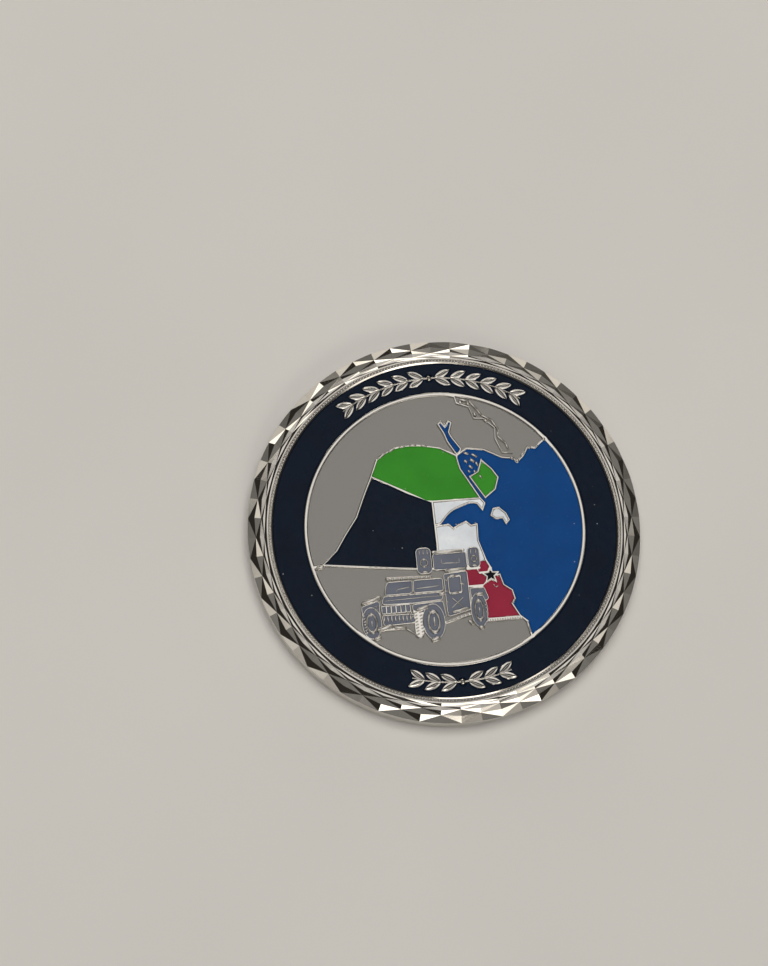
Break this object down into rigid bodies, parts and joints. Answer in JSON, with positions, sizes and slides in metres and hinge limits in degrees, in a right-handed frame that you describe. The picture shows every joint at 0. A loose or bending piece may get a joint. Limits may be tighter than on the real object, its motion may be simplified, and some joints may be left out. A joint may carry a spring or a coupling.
{
  "type": "challenge coin",
  "caption": "Round struck metal challenge coin with a diamond-cut faceted rim, a dark enamel border ring with laurel garlands, and an enamelled map with a utility truck.",
  "frame": {"origin": "on the coin's axis, in the plane of the reverse's rim", "axes": "+Z out of the obverse, +Y towards the top of the obverse's design, +X to its right"},
  "size_m": [0.0444, 0.0444, 0.0032],
  "materials": {
    "nickel_plate": "mirror-polished nickel plate",
    "navy_enamel": "gloss",
    "black_enamel": "gloss",
    "sea_blue_enamel": "gloss",
    "green_enamel": "gloss",
    "white_enamel": "gloss",
    "red_enamel": "gloss",
    "grey_enamel": "gloss"
  },
  "bodies": {
    "root": {"black_land_enamel": "navy_enamel", "border_enamel": "navy_enamel", "channel_enamel": "sea_blue_enamel", "coin_blank": "nickel_plate", "compass_enamel": "navy_enamel", "green_island_enamel": "green_enamel", "green_land_enamel": "green_enamel", "islet_enamel": "white_enamel", "north_shore_enamel": "white_enamel", "red_coast_enamel": "red_enamel", "red_field_enamel": "red_enamel", "red_headland_enamel": "red_enamel", "reverse_border_enamel": "navy_enamel", "sea_enamel": "sea_blue_enamel", "south_shore_enamel": "white_enamel", "star_enamel": "black_enamel", "truck_bonnet_enamel": "grey_enamel", "truck_box_enamel": "grey_enamel", "truck_bumper_enamel": "grey_enamel", "truck_door_enamel": "grey_enamel", "truck_door_window_enamel": "grey_enamel", "truck_far_wheel_enamel": "grey_enamel", "truck_far_wing_enamel": "grey_enamel", "truck_front_wheel_enamel": "grey_enamel", "truck_grille_enamel": "grey_enamel", "truck_near_wing_enamel": "grey_enamel", "truck_pods_enamel": "grey_enamel", "truck_rear_wheel_enamel": "grey_enamel", "truck_rear_wing_enamel": "grey_enamel", "truck_windscreen_enamel": "grey_enamel"}
  },
  "joints": []
}
